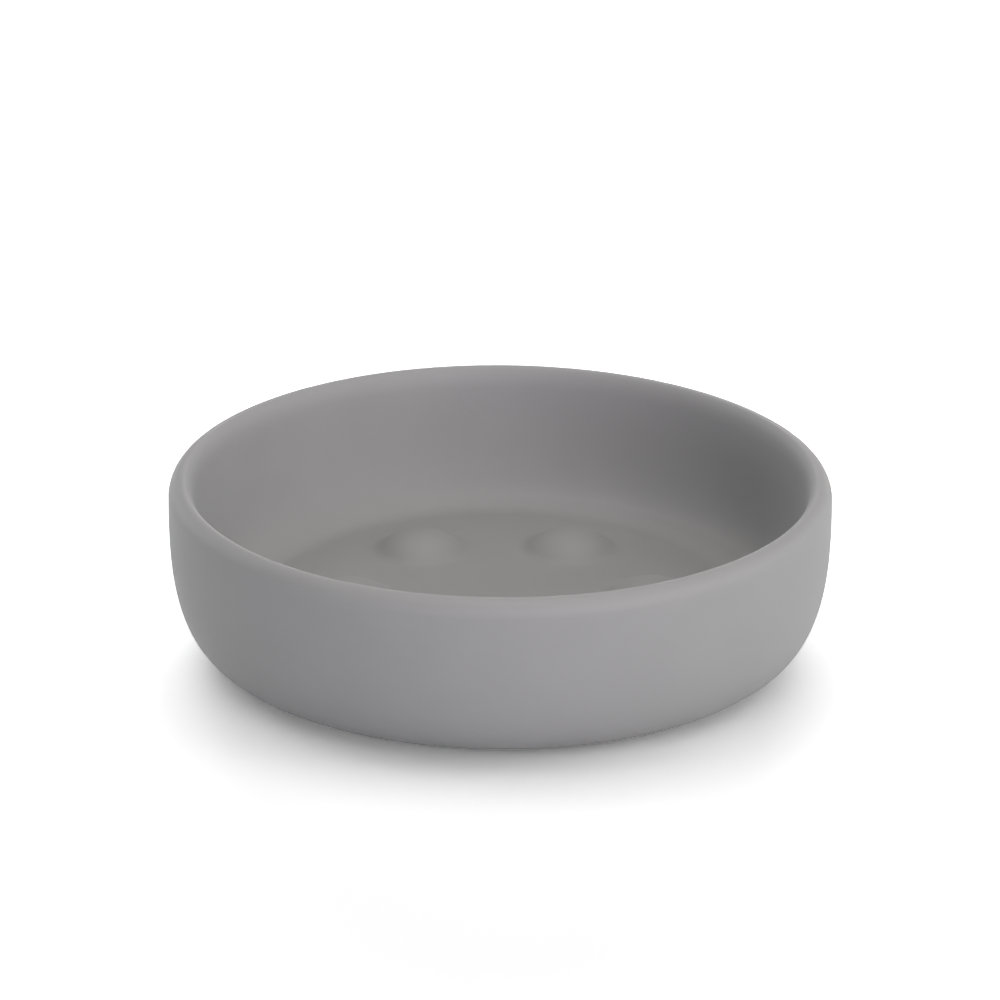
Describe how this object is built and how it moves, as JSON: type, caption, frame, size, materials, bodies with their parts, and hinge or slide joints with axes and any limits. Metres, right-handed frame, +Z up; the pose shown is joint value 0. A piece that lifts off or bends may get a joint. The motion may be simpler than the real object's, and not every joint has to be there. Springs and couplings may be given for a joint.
{
  "type": "soap dish",
  "caption": "Round matt stoneware soap dish with a rounded lip, a ring of drain nubs on its floor and a gutter round them, standing on thin anti-slip pads.",
  "frame": {"origin": "centre of the dish on the surface that it stands on, at the bottom of its foot pads", "axes": "+Z up along the dish's axis, +X to the right and -Y towards the viewer of the picture"},
  "size_m": [0.12, 0.12, 0.0332],
  "materials": {
    "stoneware": "matte",
    "silicone": "satin"
  },
  "bodies": {
    "root": {"dish_body": "stoneware", "foot_pad_1": "silicone", "foot_pad_2": "silicone", "foot_pad_3": "silicone", "foot_pad_4": "silicone"}
  },
  "joints": []
}
